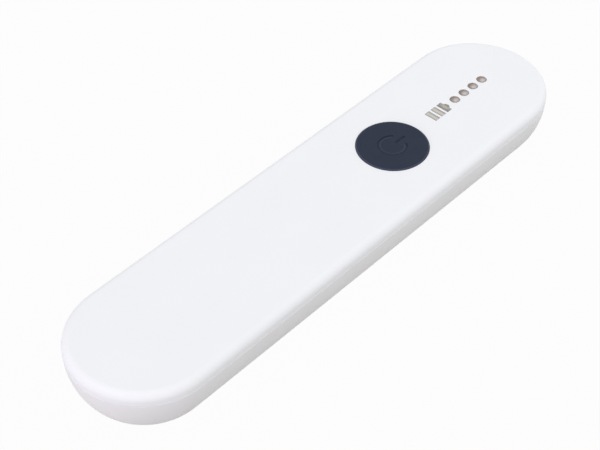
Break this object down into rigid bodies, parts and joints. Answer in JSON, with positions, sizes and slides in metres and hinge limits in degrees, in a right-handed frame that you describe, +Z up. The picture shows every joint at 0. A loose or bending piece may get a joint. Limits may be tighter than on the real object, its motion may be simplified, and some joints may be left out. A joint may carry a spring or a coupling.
{
  "type": "uv-c steriliser wand",
  "caption": "Cordless hand-held UV-C steriliser wand: flat white bar with round ends, thumb power button, charge gauge, quartz lamp window underneath and a charging socket.",
  "frame": {"origin": "middle of the flat underside, on the surface that the wand rests on", "axes": "+X along the wand, towards the charging end; +Z up, out of the top face with the button; +Y across the wand"},
  "size_m": [0.169, 0.04, 0.0159],
  "materials": {
    "cover_white": "moulded ABS, fine satin",
    "shell_white": "moulded ABS, fine satin",
    "button_slate": "soft-touch, dark slate",
    "guide_milky": "milky polycarbonate",
    "black_plastic": "moulded, matt",
    "board_green": "glass-fibre board with solder mask",
    "board_white": "aluminium-core board with white solder mask",
    "tinned_steel": "tinned sheet",
    "screw_steel": "zinc-plated",
    "bright_aluminium": "bright, diffuse",
    "plain_aluminium": "milled",
    "pouch_foil": "laminated foil pouch",
    "quartz": "clear fused quartz",
    "chip_ceramic": "unglazed alumina",
    "capacitor_tan": "ceramic chip",
    "seal_rubber": "silicone, matt",
    "plug_rubber": "silicone, satin",
    "nylon_cream": "moulded nylon",
    "lead_red": "PVC insulation",
    "lead_black": "PVC insulation",
    "tape_cream": "double-sided tape"
  },
  "bodies": {
    "case": {"top_cover": "cover_white", "bottom_shell": "shell_white", "gauge_light_guide": "guide_milky", "gauge_light_baffle": "black_plastic", "gauge_leds": "chip_ceramic", "main_board": "board_green", "switch_base": "black_plastic", "switch_cover": "tinned_steel", "switch_dome": "tinned_steel", "controller_ic": "black_plastic", "charger_ic": "black_plastic", "tilt_sensor_ic": "black_plastic", "boost_inductor": "black_plastic", "board_capacitors": "capacitor_tan", "usb_socket_shell": "tinned_steel", "usb_socket_insert": "black_plastic", "battery_cell": "pouch_foil", "battery_guard_board": "board_green", "battery_tape": "tape_cream", "battery_header": "nylon_cream", "battery_plug": "nylon_cream", "battery_lead_plus": "lead_red", "battery_lead_minus": "lead_black", "lamp_window": "quartz", "window_gasket": "seal_rubber", "reflector_tray": "bright_aluminium", "lamp_board": "board_white", "uv_leds": "chip_ceramic", "uv_led_lids": "quartz", "heat_spreader": "plain_aluminium", "lamp_screws": "screw_steel", "lamp_header": "nylon_cream", "lamp_plug": "nylon_cream", "lamp_lead_plus": "lead_red", "lamp_lead_minus": "lead_black", "board_screws": "screw_steel", "case_screws": "screw_steel", "screw_plugs": "plug_rubber"},
    "button": {"power_button": "button_slate"},
    "plunger": {"switch_plunger": "black_plastic"}
  },
  "joints": [
    {"name": "button_press", "type": "slide", "parent": "case", "child": "button", "axis": [0, 0, -1], "range_m": [0, 0.0004], "stiffness_N_per_m": 2000, "springref_m": -0.0005},
    {"name": "plunger_press", "type": "slide", "parent": "case", "child": "plunger", "axis": [0, 0, -1], "range_m": [0, 0.0004]}
  ],
  "couplings": [
    {"joint": "plunger_press", "follows": "button_press", "ratio": 1}
  ]
}
